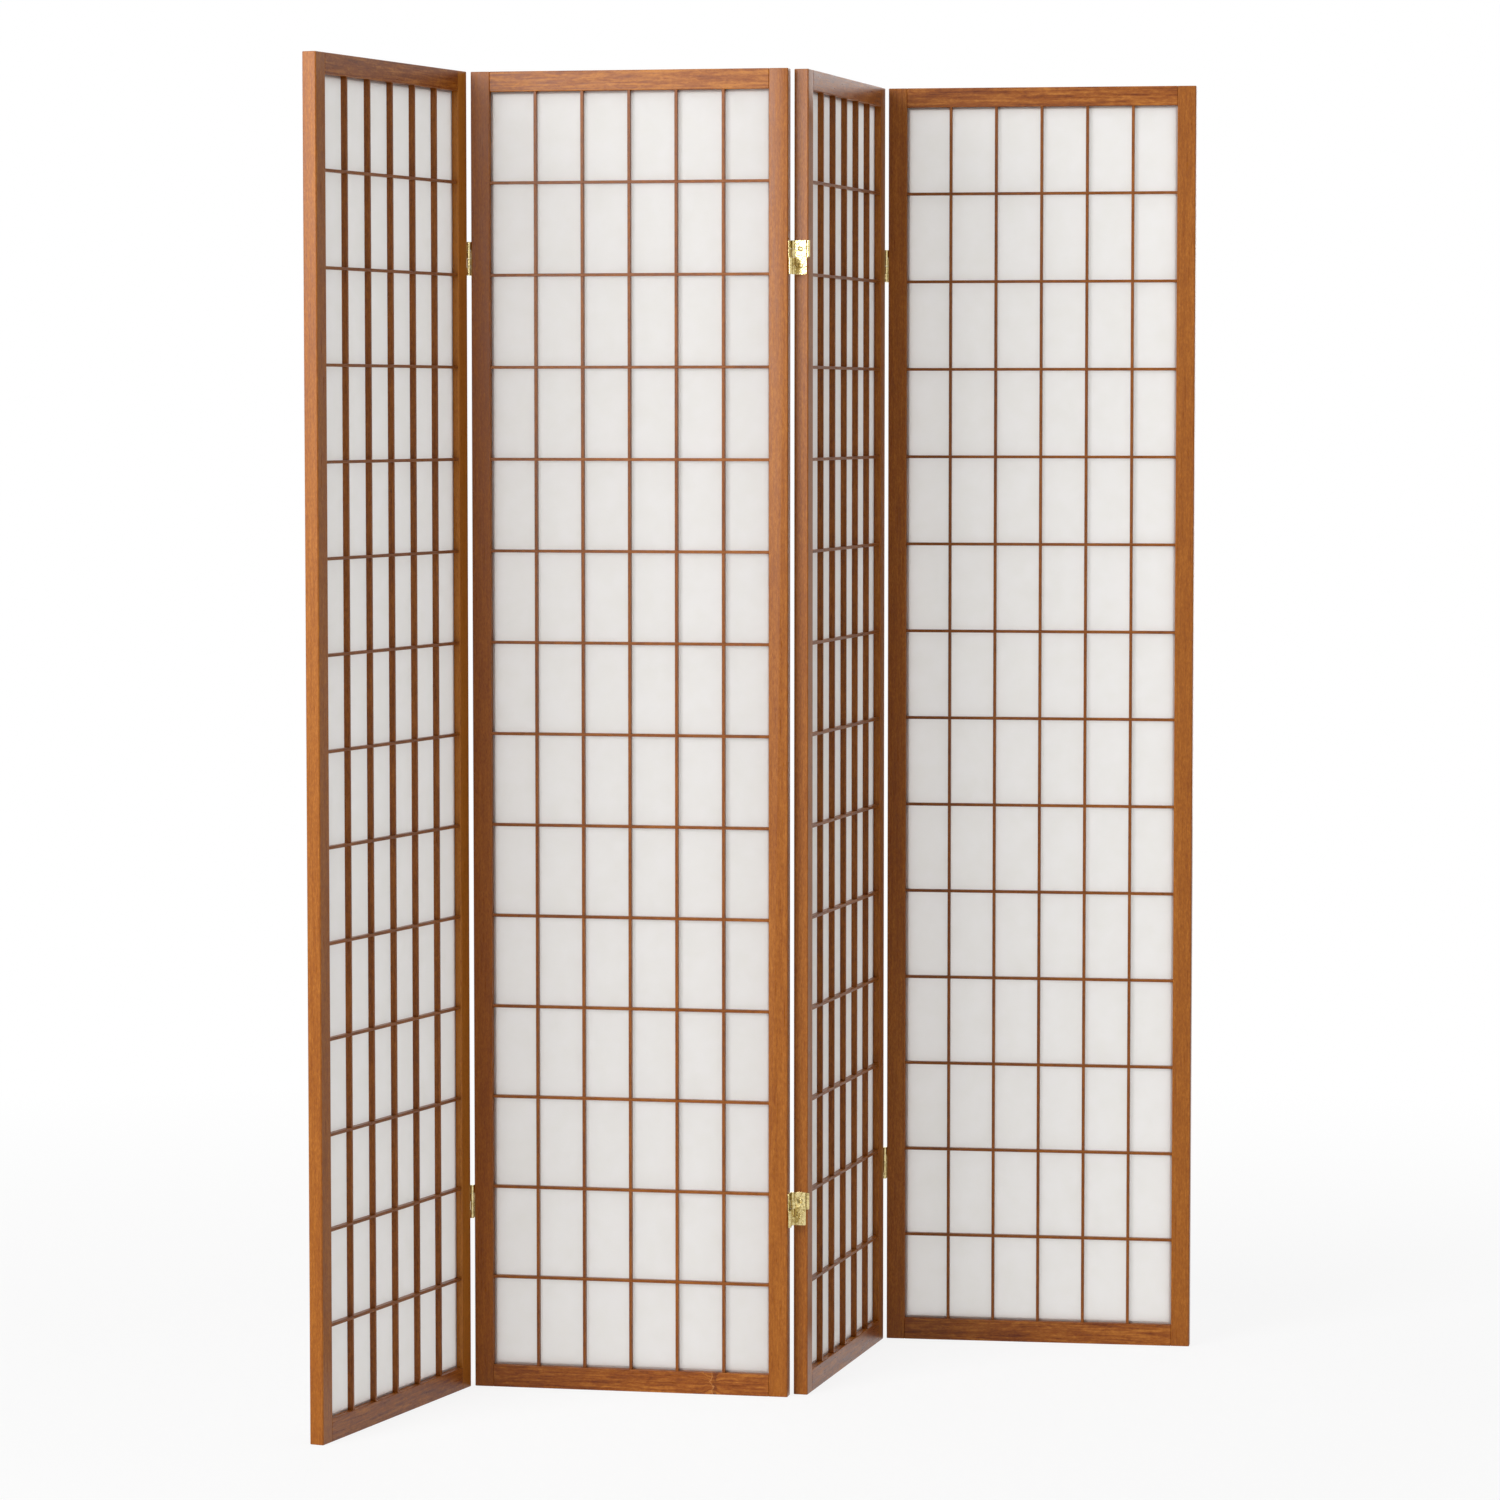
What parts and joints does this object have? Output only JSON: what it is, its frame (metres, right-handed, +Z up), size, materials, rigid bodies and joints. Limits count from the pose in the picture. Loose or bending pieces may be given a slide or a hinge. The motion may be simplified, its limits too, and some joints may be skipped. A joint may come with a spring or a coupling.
{
  "type": "folding screen",
  "caption": "Folding room screen of wood-framed, paper-backed lattice panels joined by double-action brass hinges, standing in a zigzag.",
  "frame": {"origin": "on the floor, under the middle of the box round the screen as it stands in its zigzag", "axes": "+Z up, X along the zigzag, the lattice faces towards -Y and the papered backs towards +Y"},
  "size_m": [1.3862, 0.322, 1.784],
  "materials": {
    "stile_wood": "satin clear lacquer over honey stain",
    "rail_wood": "satin clear lacquer over honey stain",
    "slat_wood": "satin clear lacquer over walnut stain",
    "bead_wood": "satin clear lacquer over honey stain",
    "shoji_paper": "matt translucent",
    "hinge_brass": "bright plated",
    "pin_brass": "bright plated",
    "screw_brass": "bright plated"
  },
  "bodies": {
    "panel_1": {"panel_1_left_stile": "stile_wood", "panel_1_right_stile": "stile_wood", "panel_1_top_rail": "rail_wood", "panel_1_bottom_rail": "rail_wood", "panel_1_vertical_slats": "slat_wood", "panel_1_horizontal_slats": "slat_wood", "panel_1_paper": "shoji_paper", "panel_1_paper_beads": "bead_wood", "fold_1_left_leaves": "hinge_brass", "fold_1_left_pins": "pin_brass", "fold_1_left_screws": "screw_brass", "fold_1_upper_links": "hinge_brass"},
    "panel_2": {"panel_2_left_stile": "stile_wood", "panel_2_right_stile": "stile_wood", "panel_2_top_rail": "rail_wood", "panel_2_bottom_rail": "rail_wood", "panel_2_vertical_slats": "slat_wood", "panel_2_horizontal_slats": "slat_wood", "panel_2_paper": "shoji_paper", "panel_2_paper_beads": "bead_wood", "fold_1_right_leaves": "hinge_brass", "fold_1_right_pins": "pin_brass", "fold_1_right_screws": "screw_brass", "fold_1_lower_links": "hinge_brass", "fold_2_left_leaves": "hinge_brass", "fold_2_left_pins": "pin_brass", "fold_2_left_screws": "screw_brass", "fold_2_lower_links": "hinge_brass"},
    "panel_3": {"panel_3_left_stile": "stile_wood", "panel_3_right_stile": "stile_wood", "panel_3_top_rail": "rail_wood", "panel_3_bottom_rail": "rail_wood", "panel_3_vertical_slats": "slat_wood", "panel_3_horizontal_slats": "slat_wood", "panel_3_paper": "shoji_paper", "panel_3_paper_beads": "bead_wood", "fold_2_right_leaves": "hinge_brass", "fold_2_right_pins": "pin_brass", "fold_2_right_screws": "screw_brass", "fold_2_upper_links": "hinge_brass", "fold_3_left_leaves": "hinge_brass", "fold_3_left_pins": "pin_brass", "fold_3_left_screws": "screw_brass", "fold_3_upper_links": "hinge_brass"},
    "panel_4": {"panel_4_left_stile": "stile_wood", "panel_4_right_stile": "stile_wood", "panel_4_top_rail": "rail_wood", "panel_4_bottom_rail": "rail_wood", "panel_4_vertical_slats": "slat_wood", "panel_4_horizontal_slats": "slat_wood", "panel_4_paper": "shoji_paper", "panel_4_paper_beads": "bead_wood", "fold_3_right_leaves": "hinge_brass", "fold_3_right_pins": "pin_brass", "fold_3_right_screws": "screw_brass", "fold_3_lower_links": "hinge_brass"}
  },
  "joints": [
    {"name": "fold_1", "type": "hinge", "parent": "panel_1", "child": "panel_2", "pos_m": [-0.32455, 0.14109, 0], "axis": [0, 0, 1], "range_deg": [-102, 78]},
    {"name": "fold_2", "type": "hinge", "parent": "panel_2", "child": "panel_3", "pos_m": [0.01213, -0.14297, 0], "axis": [0, 0, -1], "range_deg": [-93.5, 85.7]},
    {"name": "fold_3", "type": "hinge", "parent": "panel_3", "child": "panel_4", "pos_m": [0.34931, 0.1405, 0], "axis": [0, 0, 1], "range_deg": [-96.5, 83.5]}
  ]
}
